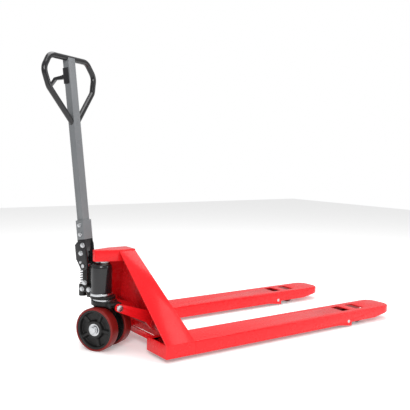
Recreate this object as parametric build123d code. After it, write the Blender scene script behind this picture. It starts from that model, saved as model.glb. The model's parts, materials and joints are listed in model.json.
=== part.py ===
from build123d import *
import os
from math import acos, asin, atan2, cos, degrees, hypot, radians, sin

# Hand pallet truck. Millimetres, +Z up, +X towards the fork tips, +Y to the left.
# Everything is laid out from the point on the floor below the steering axis, and the
# whole truck is moved at the end so that the origin is the middle of its footprint.
# It stands as parked: forks lowered, handle up, the pump and its wheels steered aside.

# ---- overall sizes ----
TRUCK_WIDTH = 685.0
FORK_WIDTH = 160.0
FORK_TIP_X = 1495.0
DECK_Z = 75.0
LIFT = 110.0
STEER_ANGLE = -59.8
HANDLE_LEAN = 6.5
HANDLE_TILT = 80.0

# ---- fits ----
RUNNING_FIT = 0.05
SLIDE_GAP = 0.5
SIDE_GAP = 1.0
OPEN_PIVOT_GAP = 2.2

# ---- forks and frame ----
PLATE = 5.0
FORK_CORNER = 6.0
TIP_CORNER = 55.0
HEEL_REAR_X = 109.0
BLADE_REAR_X = 248.0
WALL_BOTTOM_Z = 18.0
TIP_WALL_BOTTOM_Z = 24.0
TIP_TAPER_LENGTH = 129.0
TIP_BOTTOM_Z = 46.0
LUG_LENGTH = 92.0
LUG_BOTTOM_Z = 6.0
SLOT_WIDTH = 86.0
SLOT_LENGTH = 52.0
SLOT_CORNER = 6.0
SLOT_AHEAD_OF_PIVOT = 21.0
SLOT_AHEAD_OF_ROLLER = 5.0
HEEL_WINDOW_REAR_X = 117.0
HEEL_WINDOW_FRONT_X = 232.0
HEEL_RIM = 23.0
PANEL_TOP_Z = 422.0
PANEL_TOP_HALF_WIDTH = 44.0
PANEL_TOP_REAR_X = 50.0
PANEL_TOP_FRONT_X = 126.0
HEAD_PLATE = 6.0
HEAD_SKIRT = 42.0
NOSE_REAR_X = -50.0
NOSE_HALF_WIDTH = 14.0
NOSE_SHOULDER_X = 39.6
NOSE_CORNER = 10.0
CROSS_BAR_X = 150.0
CROSS_BAR_THICKNESS = 10.0
CROSS_BAR_BOTTOM_Z = 40.0
CROSS_BAR_HEIGHT = 26.0

# ---- load rollers, yokes and push rods ----
YOKE_PIVOT_X = 1170.0
YOKE_PIVOT_Z = 30.0
YOKE_PIN_DIAMETER = 16.0
YOKE_BOSS_DIAMETER = 34.0
YOKE_HALF_WIDTH = 46.0
YOKE_ARM_THICKNESS = 8.0
YOKE_EYE_DIAMETER = 40.0
YOKE_WEB_OFFSET = 30.0
YOKE_WEB_THICKNESS = 10.0
ROLLER_X = 1287.0
ROLLER_DIAMETER = 74.0
ROLLER_WIDTH = 70.0
ROLLER_TREAD = 11.0
ROLLER_BEARING_DIAMETER = 47.0
ROLLER_BEARING_WIDTH = 14.0
ROLLER_AXLE_DIAMETER = 20.0
YOKE_CRANK = 27.0
YOKE_CRANK_START = -10.0
YOKE_LUG_WIDTH = 7.0
YOKE_SLOT_RIM = 3.0
ROD_OVERLAP = 2.0
ROD_DIAMETER = 12.0
ROD_EYE_DIAMETER = 18.0
ROD_EYE_WIDTH = 14.0
ROD_PIN_DIAMETER = 10.0
ROD_SLOT_TRAVEL = 7.5
ROD_SLOT_GAP = 1.7
CLEVIS_EAR = 8.0
CLEVIS_DIAMETER = 24.0
CLEVIS_LENGTH = 46.0
CLEVIS_MOUTH = 32.0

# ---- rocker ----
SHAFT_X = 195.0
SHAFT_Z = 100.0
SHAFT_DIAMETER = 40.0
ROCKER_ARM_Y = 94.0
ROCKER_ARM_THICKNESS = 10.0
ROCKER_ARM_EYE_WALL = 8.0
ROCKER_ARM_TIP_DIAMETER = 34.0
ARM_ELBOW_X = 165.0
ARM_ELBOW_Z = 134.0
ARM_ELBOW_DIAMETER = 52.0
CRANK_THICKNESS = 12.0
CRANK_PIN_DIAMETER = 12.0
CRANK_EYE_WALL = 9.0
CRANK_TIP_DIAMETER = 26.0
LINK_PIN_X = 20.0
LINK_PIN_DIAMETER = 14.0
LINK_PIN_HEAD_DIAMETER = 28.0
LINK_PIN_HEAD = 8.0
BRACKET_THICKNESS = 8.0
BRACKET_HEIGHT = 60.0
BUSH_WALL = 3.0
INNER_BRACKET_INSET = 7.5
BRACKET_EYE_WALL = 2.0
OUTER_BRACKET_OFFSET = 9.5

# ---- steered wheels ----
WHEEL_DIAMETER = 186.0
WHEEL_WIDTH = 50.0
WHEEL_SPACE = 54.0
TREAD_THICKNESS = 9.0
WHEEL_HUB_WIDTH = 46.0
HUB_RIM = 8.0
HUB_BOSS_DIAMETER = 72.0
HUB_WEB = 10.0
HUB_SPOKES = 5
HUB_SPOKE_WIDTH = 12.0
WHEEL_BEARING_DIAMETER = 52.0
WHEEL_BEARING_WIDTH = 15.0
WHEEL_AXLE_DIAMETER = 25.0
AXLE_RING_THICKNESS = 3.0
AXLE_RING_DIAMETER = 36.0
AXLE_STUB = 4.0
TYRE_EDGE = 4.0
BEARING_LAND = 2.5
BEARING_FACE_RECESS = 1.0

# ---- pump ----
RAM_DIAMETER = 36.0
RAM_BOTTOM_Z = 125.0
RAM_SOCKET_WALL = 4.0
RAM_SOCKET_DEPTH = 10.0
RAM_SOCKET_FLOOR = 8.0
CYLINDER_BOTTOM_Z = 118.0
CYLINDER_DIAMETER = 52.0
BASE_HALF_LENGTH = 38.0
BASE_HALF_WIDTH = 24.0
BASE_BOTTOM_RADIUS = 32.0
NECK_DIAMETER = 60.0
CARRIER_OVER_WHEEL = 4.0
CARRIER_THICKNESS = 20.0
CARRIER_DIAMETER = 112.0
CARRIER_WING_Y = 80.0
CARRIER_WING_END_Y = 92.0
CARRIER_LIP = 8.0
THRUST_BEARING_HEIGHT = 6.0
THRUST_BEARING_DIAMETER = 100.0
THRUST_BEARING_BORE = 64.0
FLANGE_THICKNESS = 12.0
RESERVOIR_RING_DIAMETER = 98.0
RESERVOIR_RING_HEIGHT = 12.0
RESERVOIR_DIAMETER = 92.0
RESERVOIR_WALL = 4.0
RESERVOIR_TOP_Z = 372.0
RESERVOIR_DOME = 24.0
RESERVOIR_BACK = 14.0
GLAND_DIAMETER = 48.0
GLAND_HEIGHT = 6.0
PLUNGER_BACK = 112.0
PLUNGER_DIAMETER = 16.0
PLUNGER_HOUSING_DIAMETER = 34.0
PLUNGER_HOUSING_HEIGHT = 50.0
PLUNGER_CAP_DIAMETER = 29.0
PLUNGER_CAP_HEIGHT = 6.0
SPRING_DIAMETER = 28.0
SPRING_WIRE = 3.5
SPRING_TURNS = 7
PUMP_LUG_HEIGHT = 26.0
PUMP_LUG_OVER_FLANGE = 20.0
WEB_REAR = 76.0
VALVE_NOTCH_HALF_WIDTH = 6.0
VALVE_NOTCH_FRONT_X = -57.0
LUG_HALF_WIDTH = 20.0
LUG_BOLT_X = (-102.0, -67.0)
EAR_THICKNESS = 6.0
EAR_INNER_Y = 15.0
EAR_DIAMETER = 26.0
EAR_BOLT_RISE = 16.0

# ---- handle ----
PIVOT_BACK = 88.0
PIVOT_Z = 352.0
PIVOT_PIN_DIAMETER = 16.0
CHEEK_INNER_Y = 22.0
CHEEK_THICKNESS = 8.0
CHEEK_DIAMETER = 40.0
HANDLE_BASE_HEIGHT = 115.0
HANDLE_BLOCK_BOTTOM = 62.0
SHOULDER_BACK = 35.0
SHOULDER_FRONT = 22.0
SHOULDER_BOTTOM = 30.0
SHOULDER_TOP = 104.0
SHOULDER_BEVEL = 12.0
CAM_ARM = 22.0
CAM_ROLLER_DIAMETER = 26.0
CAM_ROLLER_WIDTH = 24.0
CAM_PIN_DIAMETER = 12.0
CAM_GAP = 1.2
STEM_WIDTH = 46.0
STEM_DEPTH = 30.0
STEM_WALL = 2.5
STEM_SLEEVE_TOP = 198.0
STEM_SLEEVE_WIDTH = 60.0
STEM_SLEEVE_DEPTH = 38.0
SLEEVE_BOLT_HEIGHTS = (137.0, 177.0)
CHEEK_BOLTS = ((6.0, 90.0), (-7.0, 56.0))
LOOP_TUBE = 25.0
LOOP_WALL = 2.5
LOOP_TOP = 899.0
LOOP_BEND = 45.0
LOOP_FOOT = (14.0, 619.0)
LOOP_ELBOW = (152.0, 763.0)
LOOP_SIDE = (176.0, 837.0)
LOOP_SHOULDER_Y = 128.0
LEVER_HEIGHT = 823.0
LEVER_PIVOT_BACK = 30.0
LEVER_WIDTH = 16.0
LEVER_REACH = 78.0
LEVER_HOOK = 24.0
LEVER_PIN_DIAMETER = 8.0
LEVER_EAR = 5.0
LEVER_NOSE_END = 5.0
LEVER_NOSE_HEIGHT = 6.0
LEVER_ROOT_DIAMETER = 18.0
LEVER_BEND = 50.0
LEVER_TAPER = 3.0
LEVER_PLATE = 3.0
LEVER_FLANGE_FRONT_X = 9.0
LEVER_PLATE_HALF_HEIGHT = 34.0
RELEASE_ROD_DIAMETER = 6.0
RELEASE_COLLAR_DIAMETER = 18.0
RELEASE_COLLAR = 4.0
RELEASE_COLLAR_OFFSET = 6.0
RELEASE_ROD_BOTTOM = 34.0
RELEASE_LINK_TOP = 4.0
RELEASE_LINK_DIAMETER = 5.0
RELEASE_LINK_REST = 2.5
VALVE_PIVOT_BACK = 66.0
VALVE_PIVOT_RISE = 6.0
VALVE_LEVER_WIDTH = 6.0
VALVE_PIN_DIAMETER = 6.0
VALVE_BOSS_DIAMETER = 11.0
VALVE_LEVER_END_DIAMETER = 7.0
BOLT_DIAMETER = 10.0
BOLT_HEAD_DIAMETER = 17.0
BOLT_HEAD = 6.0

# ---- worked out from the sizes above ----
FORK_Y = (TRUCK_WIDTH - FORK_WIDTH) / 2
FORK_OUTER_Y = TRUCK_WIDTH / 2
FORK_INNER_Y = FORK_OUTER_Y - FORK_WIDTH
PLATE_RISE = PANEL_TOP_Z - DECK_Z
PLATE_RUN = FORK_OUTER_Y - PANEL_TOP_HALF_WIDTH
PLATE_ACROSS = PLATE * hypot(PLATE_RUN, PLATE_RISE) / PLATE_RISE
INNER_BRACKET_Y = FORK_INNER_Y + INNER_BRACKET_INSET
OUTER_BRACKET_Y = FORK_Y + OUTER_BRACKET_OFFSET
BRACKET_EYE_RADIUS = SHAFT_DIAMETER / 2 + BUSH_WALL + BRACKET_EYE_WALL
ROCKER_ARM_ROOT_DIAMETER = SHAFT_DIAMETER + 2 * ROCKER_ARM_EYE_WALL
CRANK_ROOT_DIAMETER = SHAFT_DIAMETER + 2 * CRANK_EYE_WALL
SHAFT_HALF_LENGTH = OUTER_BRACKET_Y + BRACKET_THICKNESS + 2 * SIDE_GAP
WHEEL_Y = (WHEEL_SPACE + WHEEL_WIDTH) / 2
WHEEL_Z = WHEEL_DIAMETER / 2
WHEEL_HUB_DIAMETER = WHEEL_DIAMETER - 2 * TREAD_THICKNESS
CARRIER_BOTTOM_Z = WHEEL_DIAMETER + CARRIER_OVER_WHEEL
CARRIER_TOP_Z = CARRIER_BOTTOM_Z + CARRIER_THICKNESS
BASE_TOP_Z = CARRIER_BOTTOM_Z - SIDE_GAP
LINK_PIN_Z = CARRIER_BOTTOM_Z
FLANGE_BOTTOM_Z = CARRIER_TOP_Z + THRUST_BEARING_HEIGHT
FLANGE_TOP_Z = FLANGE_BOTTOM_Z + FLANGE_THICKNESS
RESERVOIR_RING_TOP_Z = FLANGE_TOP_Z + RESERVOIR_RING_HEIGHT
PUMP_LUG_BOTTOM_Z = FLANGE_BOTTOM_Z + PUMP_LUG_OVER_FLANGE
PUMP_LUG_TOP_Z = PUMP_LUG_BOTTOM_Z + PUMP_LUG_HEIGHT
PLUNGER_HOUSING_TOP_Z = FLANGE_BOTTOM_Z + PLUNGER_HOUSING_HEIGHT
EAR_BOLT_Z = PUMP_LUG_TOP_Z + EAR_BOLT_RISE
VALVE_PIVOT_Z = FLANGE_BOTTOM_Z + VALVE_PIVOT_RISE
RELEASE_LINK_BOTTOM_Z = VALVE_PIVOT_Z + VALVE_LEVER_END_DIAMETER / 2 + RELEASE_LINK_REST
ROLLER_Z = ROLLER_DIAMETER / 2
ROLLER_CORE_DIAMETER = ROLLER_DIAMETER - 2 * ROLLER_TREAD
SLOT_X = (YOKE_PIVOT_X + SLOT_AHEAD_OF_PIVOT, ROLLER_X + SLOT_AHEAD_OF_ROLLER)
HEAD_TOP_Z = PANEL_TOP_Z + HEAD_PLATE
RAM_TOP_Z = PANEL_TOP_Z - RAM_SOCKET_FLOOR

YOKE_ARM = hypot(ROLLER_X - YOKE_PIVOT_X, ROLLER_Z - YOKE_PIVOT_Z)
YOKE_RISE = (ROLLER_Z - YOKE_PIVOT_Z) / YOKE_ARM
YOKE_TURN = degrees(asin(YOKE_RISE) - asin(YOKE_RISE - LIFT / YOKE_ARM))
ROD_PIN_X = YOKE_PIVOT_X + YOKE_CRANK * sin(radians(YOKE_CRANK_START))
ROD_PIN_Z = YOKE_PIVOT_Z + YOKE_CRANK * cos(radians(YOKE_CRANK_START))
ROD_STROKE = YOKE_CRANK * (sin(radians(YOKE_CRANK_START + YOKE_TURN)) - sin(radians(YOKE_CRANK_START)))
ROCKER_ARM = hypot(SHAFT_X - LINK_PIN_X, LINK_PIN_Z - SHAFT_Z)
ROCKER_RISE = (LINK_PIN_Z - SHAFT_Z) / ROCKER_ARM
ROCKER_TURN = degrees(asin(ROCKER_RISE) - asin(ROCKER_RISE - LIFT / ROCKER_ARM))
CRANK_RADIUS = ROD_STROKE / (2 * sin(radians(ROCKER_TURN / 2)))
CRANK_PIN_X = SHAFT_X - CRANK_RADIUS * sin(radians(ROCKER_TURN / 2))
CRANK_PIN_Z = SHAFT_Z - CRANK_RADIUS * cos(radians(ROCKER_TURN / 2))
CAM_Z = PIVOT_Z + CAM_ARM * sin(radians(HANDLE_TILT / 2))
PLUNGER_TOP_Z = CAM_Z - CAM_ROLLER_DIAMETER / 2 - CAM_GAP
CAM_PIN_REACH = CAM_ARM * cos(radians(HANDLE_TILT / 2))
PLUNGER_STROKE = 2 * CAM_ARM * sin(radians(HANDLE_TILT / 2))


# ---- drawing helpers ----
def box_between(x_range, y_range, z_range):
    size = [high - low for low, high in (x_range, y_range, z_range)]
    middle = [(high + low) / 2 for low, high in (x_range, y_range, z_range)]
    return Pos(*middle) * Box(*size)


def upright(radius, z_low, z_high, x=0.0, y=0.0):
    return Pos(x, y, (z_low + z_high) / 2) * Cylinder(radius, z_high - z_low)


def crosswise(radius, x, z, y_low, y_high):
    """A cylinder whose axis runs from side to side."""
    return Pos(x, (y_low + y_high) / 2, z) * Rot(90, 0, 0) * Cylinder(radius, y_high - y_low)


def side_profile(outline, y_low, y_high):
    """An outline drawn in X and Z, given its thickness from y_low to y_high."""
    plane = Plane(origin=(0, y_high, 0), x_dir=(1, 0, 0), z_dir=(0, -1, 0))
    return extrude(plane * outline, amount=y_high - y_low)


def plan_profile(outline, z_low, z_high):
    return extrude(Pos(0, 0, z_low) * outline, amount=z_high - z_low)


def polygon(*corners):
    return make_face(Polyline(*corners, close=True))


def link_outline(end_a, radius_a, end_b, radius_b):
    """Two round ends joined by their common tangents."""
    run = end_b[0] - end_a[0]
    rise = end_b[1] - end_a[1]
    heading = atan2(rise, run)
    lean = acos((radius_a - radius_b) / hypot(run, rise))
    corners = []
    for end, radius, turn in ((end_a, radius_a, lean), (end_b, radius_b, lean),
                              (end_b, radius_b, -lean), (end_a, radius_a, -lean)):
        angle = heading + turn
        corners.append((end[0] + radius * cos(angle), end[1] + radius * sin(angle)))
    return polygon(*corners) + Pos(*end_a) * Circle(radius_a) + Pos(*end_b) * Circle(radius_b)


def group(*pieces):
    return Compound([solid for piece in pieces for solid in piece.solids()])


def mirrored(shape):
    return mirror(shape, about=Plane.XZ)


def hex_head(x, z, y_face, side):
    """A bolt head that sits outside y_face, on the left (1) or the right (-1)."""
    plane = Plane(origin=(x, side * y_face, z), x_dir=(1, 0, 0), z_dir=(0, side, 0))
    return extrude(plane * RegularPolygon(BOLT_HEAD_DIAMETER / 2, 6, major_radius=False), BOLT_HEAD)


# ---- frame: forks, heels, plates and head ----
def fork_blade():
    """Left fork from the heel to the tip: an inverted channel with a rounded, tapered tip."""
    taper_x = FORK_TIP_X - TIP_TAPER_LENGTH
    lug_front_x = YOKE_PIVOT_X + YOKE_BOSS_DIAMETER / 2 + PLATE
    side = polygon((BLADE_REAR_X, WALL_BOTTOM_Z), (lug_front_x - LUG_LENGTH, WALL_BOTTOM_Z),
                   (lug_front_x - PLATE, LUG_BOTTOM_Z), (lug_front_x, LUG_BOTTOM_Z),
                   (lug_front_x, TIP_WALL_BOTTOM_Z), (taper_x, TIP_WALL_BOTTOM_Z),
                   (FORK_TIP_X, TIP_BOTTOM_Z), (FORK_TIP_X, DECK_Z), (BLADE_REAR_X, DECK_Z))
    blade = side_profile(side, FORK_INNER_Y, FORK_OUTER_Y)
    blade &= plan_profile(fork_plan(0.0), 0.0, DECK_Z)
    deck_edges = blade.edges().group_by(Axis.Z)[-1].sort_by(Axis.X)[1:]
    blade = fillet(deck_edges, FORK_CORNER)
    blade -= plan_profile(fork_plan(PLATE), 0.0, DECK_Z - PLATE)
    for slot_x in SLOT_X:
        slot = RectangleRounded(SLOT_LENGTH, SLOT_WIDTH, SLOT_CORNER)
        blade -= plan_profile(Pos(slot_x, FORK_Y) * slot, DECK_Z - 2 * PLATE, DECK_Z + PLATE)
    blade -= crosswise(YOKE_PIN_DIAMETER / 2, YOKE_PIVOT_X, YOKE_PIVOT_Z, FORK_INNER_Y, FORK_OUTER_Y)
    return blade


def fork_plan(inset):
    """The blade seen from above, drawn in by inset everywhere but at its open rear end."""
    length = FORK_TIP_X - inset - BLADE_REAR_X
    outline = Rectangle(length, FORK_WIDTH - 2 * inset)
    tip_corners = outline.vertices().sort_by(Axis.X)[-2:]
    outline = fillet(tip_corners, TIP_CORNER - inset)
    return Pos(BLADE_REAR_X + length / 2, FORK_Y) * outline


def heel():
    """The fork's rear box below the side plate, with a window for the rocker's crank."""
    shell = box_between((HEEL_REAR_X, BLADE_REAR_X), (FORK_INNER_Y, FORK_OUTER_Y), (WALL_BOTTOM_Z, DECK_Z))
    shell -= box_between((HEEL_REAR_X + PLATE, BLADE_REAR_X), (FORK_INNER_Y + PLATE, FORK_OUTER_Y - PLATE),
                         (0.0, DECK_Z - PLATE))
    shell -= box_between((HEEL_WINDOW_REAR_X, HEEL_WINDOW_FRONT_X),
                         (FORK_INNER_Y + HEEL_RIM, FORK_OUTER_Y - 2 * HEEL_RIM), (0.0, DECK_Z))
    return shell


def front_panel():
    """The leaning front of the frame, from the fork decks up to the head."""
    run = PANEL_TOP_FRONT_X - BLADE_REAR_X
    slope = hypot(run, PLATE_RISE)
    plane = Plane(origin=(BLADE_REAR_X, 0, DECK_Z), x_dir=(0, 1, 0), z_dir=(PLATE_RISE, 0, -run))
    outline = polygon((-FORK_OUTER_Y, 0), (FORK_OUTER_Y, 0),
                      (PANEL_TOP_HALF_WIDTH, slope), (-PANEL_TOP_HALF_WIDTH, slope))
    panel = extrude(plane * outline, amount=-PLATE)
    return panel & box_between((0, 2 * BLADE_REAR_X), (-TRUCK_WIDTH, TRUCK_WIDTH), (DECK_Z, PANEL_TOP_Z))


def side_plate():
    """Left sloping side of the frame, from the outer edge of the heel up to the head."""
    slope = hypot(PLATE_RUN, PLATE_RISE)
    plane = Plane(origin=(0, FORK_OUTER_Y, DECK_Z), x_dir=(1, 0, 0), z_dir=(0, PLATE_RISE, PLATE_RUN))
    outline = polygon((HEEL_REAR_X, 0), (BLADE_REAR_X, 0),
                      (PANEL_TOP_FRONT_X, -slope), (PANEL_TOP_REAR_X, -slope))
    plate = extrude(plane * outline, amount=-PLATE)
    plate &= box_between((0, 2 * BLADE_REAR_X), (0, TRUCK_WIDTH), (DECK_Z, PANEL_TOP_Z))
    return plate - front_panel()


def nose_plan(inset):
    side_y = PANEL_TOP_HALF_WIDTH - inset
    nose_x = NOSE_REAR_X + inset
    nose_y = NOSE_HALF_WIDTH - inset
    outline = polygon((PANEL_TOP_REAR_X, side_y), (NOSE_SHOULDER_X, side_y), (nose_x, nose_y),
                      (nose_x, -nose_y), (NOSE_SHOULDER_X, -side_y), (PANEL_TOP_REAR_X, -side_y))
    rear_corners = outline.vertices().sort_by(Axis.X)[:2]
    return fillet(rear_corners, NOSE_CORNER - inset)


def head():
    """The top plate that the ram lifts, with a skirt that runs in between the side plates."""
    top = Pos((PANEL_TOP_REAR_X + PANEL_TOP_FRONT_X) / 2, 0) * Rectangle(
        PANEL_TOP_FRONT_X - PANEL_TOP_REAR_X, 2 * PANEL_TOP_HALF_WIDTH)
    plate = plan_profile(top + nose_plan(0.0), PANEL_TOP_Z, HEAD_TOP_Z)
    skirt_z = (PANEL_TOP_Z - HEAD_SKIRT, PANEL_TOP_Z)
    skirt = plan_profile(nose_plan(0.0) - nose_plan(HEAD_PLATE), *skirt_z)
    wall_x = (PANEL_TOP_REAR_X, PANEL_TOP_FRONT_X - 2 * HEAD_PLATE)
    wall = box_between(wall_x, (PANEL_TOP_HALF_WIDTH - HEAD_PLATE, PANEL_TOP_HALF_WIDTH), skirt_z)
    wall &= under_side_plates()
    return plate + skirt + wall + mirrored(wall)


def ram_socket():
    low_z = RAM_TOP_Z - RAM_SOCKET_DEPTH
    block = upright(RAM_DIAMETER / 2 + RAM_SOCKET_WALL, low_z, PANEL_TOP_Z)
    return block - upright(RAM_DIAMETER / 2, low_z, RAM_TOP_Z)


def lift_ram():
    return upright(RAM_DIAMETER / 2, RAM_BOTTOM_Z, RAM_TOP_Z)


def lower_cross_member():
    """A bar between the heels at the rear, and a closing plate under the front panel."""
    across = (-FORK_INNER_Y, FORK_INNER_Y)
    bar = box_between((CROSS_BAR_X, CROSS_BAR_X + CROSS_BAR_THICKNESS), across,
                      (CROSS_BAR_BOTTOM_Z, CROSS_BAR_BOTTOM_Z + CROSS_BAR_HEIGHT))
    foot_plate = box_between((BLADE_REAR_X - PLATE, BLADE_REAR_X), across, (WALL_BOTTOM_Z, DECK_Z))
    return group(bar, foot_plate)


def under_side_plates():
    """The space between the two side plates, above the decks."""
    foot_y = FORK_OUTER_Y - PLATE_ACROSS
    top_y = PANEL_TOP_HALF_WIDTH - PLATE_ACROSS
    outline = polygon((-foot_y, DECK_Z), (foot_y, DECK_Z), (top_y, PANEL_TOP_Z), (-top_y, PANEL_TOP_Z))
    return extrude(Plane.YZ * outline, amount=BLADE_REAR_X)


def rocker_brackets():
    """Bearing plates: one stands on each heel's inner rim, one hangs from each side plate."""
    eye = Pos(SHAFT_X, SHAFT_Z)
    rear_x = SHAFT_X - BRACKET_EYE_RADIUS
    front_x = SHAFT_X + BRACKET_EYE_RADIUS
    top_z = SHAFT_Z + BRACKET_HEIGHT
    standing = eye * Circle(BRACKET_EYE_RADIUS) + polygon((rear_x, DECK_Z), (front_x, DECK_Z),
                                                          (front_x, SHAFT_Z), (rear_x, SHAFT_Z))
    standing &= polygon((rear_x, DECK_Z), (front_x, DECK_Z), (front_x, top_z), (rear_x, top_z))
    hanging = eye * Circle(BRACKET_EYE_RADIUS) + polygon((rear_x, SHAFT_Z), (front_x, SHAFT_Z),
                                                         (SHAFT_X + PLATE, top_z), (SHAFT_X - PLATE, top_z))
    bore = eye * Circle(SHAFT_DIAMETER / 2 + BUSH_WALL)
    inner = side_profile(standing - bore, INNER_BRACKET_Y, INNER_BRACKET_Y + BRACKET_THICKNESS)
    outer = side_profile(hanging - bore, OUTER_BRACKET_Y, OUTER_BRACKET_Y + BRACKET_THICKNESS)
    outer &= under_side_plates()
    return group(inner, outer, mirrored(inner), mirrored(outer))


def rocker_bushes():
    bushes = []
    for y in (INNER_BRACKET_Y, OUTER_BRACKET_Y):
        ring = Circle(SHAFT_DIAMETER / 2 + BUSH_WALL) - Circle(SHAFT_DIAMETER / 2 + RUNNING_FIT)
        bush = side_profile(Pos(SHAFT_X, SHAFT_Z) * ring, y, y + BRACKET_THICKNESS)
        bushes += [bush, mirrored(bush)]
    return group(*bushes)


def yoke_pins():
    pin = crosswise(YOKE_PIN_DIAMETER / 2, YOKE_PIVOT_X, YOKE_PIVOT_Z, FORK_INNER_Y, FORK_OUTER_Y)
    return group(pin, mirrored(pin))


# ---- rocker: shaft, arms and cranks ----
def rocker_shaft():
    return crosswise(SHAFT_DIAMETER / 2, SHAFT_X, SHAFT_Z, -SHAFT_HALF_LENGTH, SHAFT_HALF_LENGTH)


def rocker_arms():
    """Two cranked arms that carry the link pins, one beside each end of the carrier."""
    shaft = (SHAFT_X, SHAFT_Z)
    elbow = (ARM_ELBOW_X, ARM_ELBOW_Z)
    pin = (LINK_PIN_X, LINK_PIN_Z)
    outline = link_outline(shaft, ROCKER_ARM_ROOT_DIAMETER / 2, elbow, ARM_ELBOW_DIAMETER / 2)
    outline += link_outline(elbow, ARM_ELBOW_DIAMETER / 2, pin, ROCKER_ARM_TIP_DIAMETER / 2)
    outline = outline - Pos(*shaft) * Circle(SHAFT_DIAMETER / 2) - Pos(*pin) * Circle(LINK_PIN_DIAMETER / 2)
    arm = side_profile(outline, ROCKER_ARM_Y, ROCKER_ARM_Y + ROCKER_ARM_THICKNESS)
    return group(arm, mirrored(arm))


def link_pins():
    """Shouldered pins through the arms' ends, which bear under the carrier's wings."""
    outer_y = ROCKER_ARM_Y + ROCKER_ARM_THICKNESS
    pin = crosswise(LINK_PIN_DIAMETER / 2, LINK_PIN_X, LINK_PIN_Z, CARRIER_WING_Y + SLIDE_GAP, outer_y)
    pin += crosswise(LINK_PIN_HEAD_DIAMETER / 2, LINK_PIN_X, LINK_PIN_Z, outer_y, outer_y + LINK_PIN_HEAD)
    return group(pin, mirrored(pin))


def rocker_cranks():
    shaft = (SHAFT_X, SHAFT_Z)
    pin = (CRANK_PIN_X, CRANK_PIN_Z)
    outline = link_outline(shaft, CRANK_ROOT_DIAMETER / 2, pin, CRANK_TIP_DIAMETER / 2)
    outline = outline - Pos(*shaft) * Circle(SHAFT_DIAMETER / 2) - Pos(*pin) * Circle(CRANK_PIN_DIAMETER / 2)
    crank = side_profile(outline, FORK_Y - CRANK_THICKNESS / 2, FORK_Y + CRANK_THICKNESS / 2)
    return group(crank, mirrored(crank))


def crank_pins():
    half = CRANK_THICKNESS / 2 + SIDE_GAP + CLEVIS_EAR
    pin = crosswise(CRANK_PIN_DIAMETER / 2, CRANK_PIN_X, CRANK_PIN_Z, FORK_Y - half, FORK_Y + half)
    return group(pin, mirrored(pin))


# ---- push rods, yokes and load rollers ----
def push_rod():
    """Left push rod: a clevis on the crank, a long bar and an eye with its cross pin."""
    ear_half = CRANK_THICKNESS / 2 + SIDE_GAP
    block_x = CRANK_PIN_X + CLEVIS_LENGTH
    low_z = CRANK_PIN_Z - CLEVIS_DIAMETER / 2
    high_z = CRANK_PIN_Z + CLEVIS_DIAMETER / 2
    ear = Pos(CRANK_PIN_X, CRANK_PIN_Z) * Circle(CLEVIS_DIAMETER / 2)
    ear += polygon((CRANK_PIN_X, low_z), (block_x, low_z), (block_x, high_z), (CRANK_PIN_X, high_z))
    clevis = side_profile(ear, FORK_Y - ear_half - CLEVIS_EAR, FORK_Y + ear_half + CLEVIS_EAR)
    clevis -= box_between((CRANK_PIN_X - CLEVIS_DIAMETER, CRANK_PIN_X + CLEVIS_MOUTH),
                          (FORK_Y - ear_half, FORK_Y + ear_half), (low_z, high_z))
    clevis -= crosswise(CRANK_PIN_DIAMETER / 2 + RUNNING_FIT, CRANK_PIN_X, CRANK_PIN_Z, 0.0, TRUCK_WIDTH)
    slope = degrees(atan2(ROD_PIN_Z - CRANK_PIN_Z, ROD_PIN_X - CRANK_PIN_X))
    bar_end = ROD_PIN_X - ROD_EYE_DIAMETER
    middle = ((block_x + bar_end) / 2, FORK_Y, (CRANK_PIN_Z + ROD_PIN_Z) / 2)
    length = bar_end - block_x + 2 * ROD_OVERLAP
    bar = Pos(*middle) * Rot(0, 90 - slope, 0) * Cylinder(ROD_DIAMETER / 2, length)
    eye = link_outline((ROD_PIN_X, ROD_PIN_Z), ROD_EYE_DIAMETER / 2, (bar_end, ROD_PIN_Z), ROD_DIAMETER / 2)
    eye -= Pos(ROD_PIN_X, ROD_PIN_Z) * Circle(ROD_PIN_DIAMETER / 2)
    eye = side_profile(eye, FORK_Y - ROD_EYE_WIDTH / 2, FORK_Y + ROD_EYE_WIDTH / 2)
    pin_half = ROD_EYE_WIDTH / 2 + SIDE_GAP + YOKE_LUG_WIDTH
    pin = crosswise(ROD_PIN_DIAMETER / 2, ROD_PIN_X, ROD_PIN_Z, FORK_Y - pin_half, FORK_Y + pin_half)
    return group(clevis + bar + eye, pin)


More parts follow.
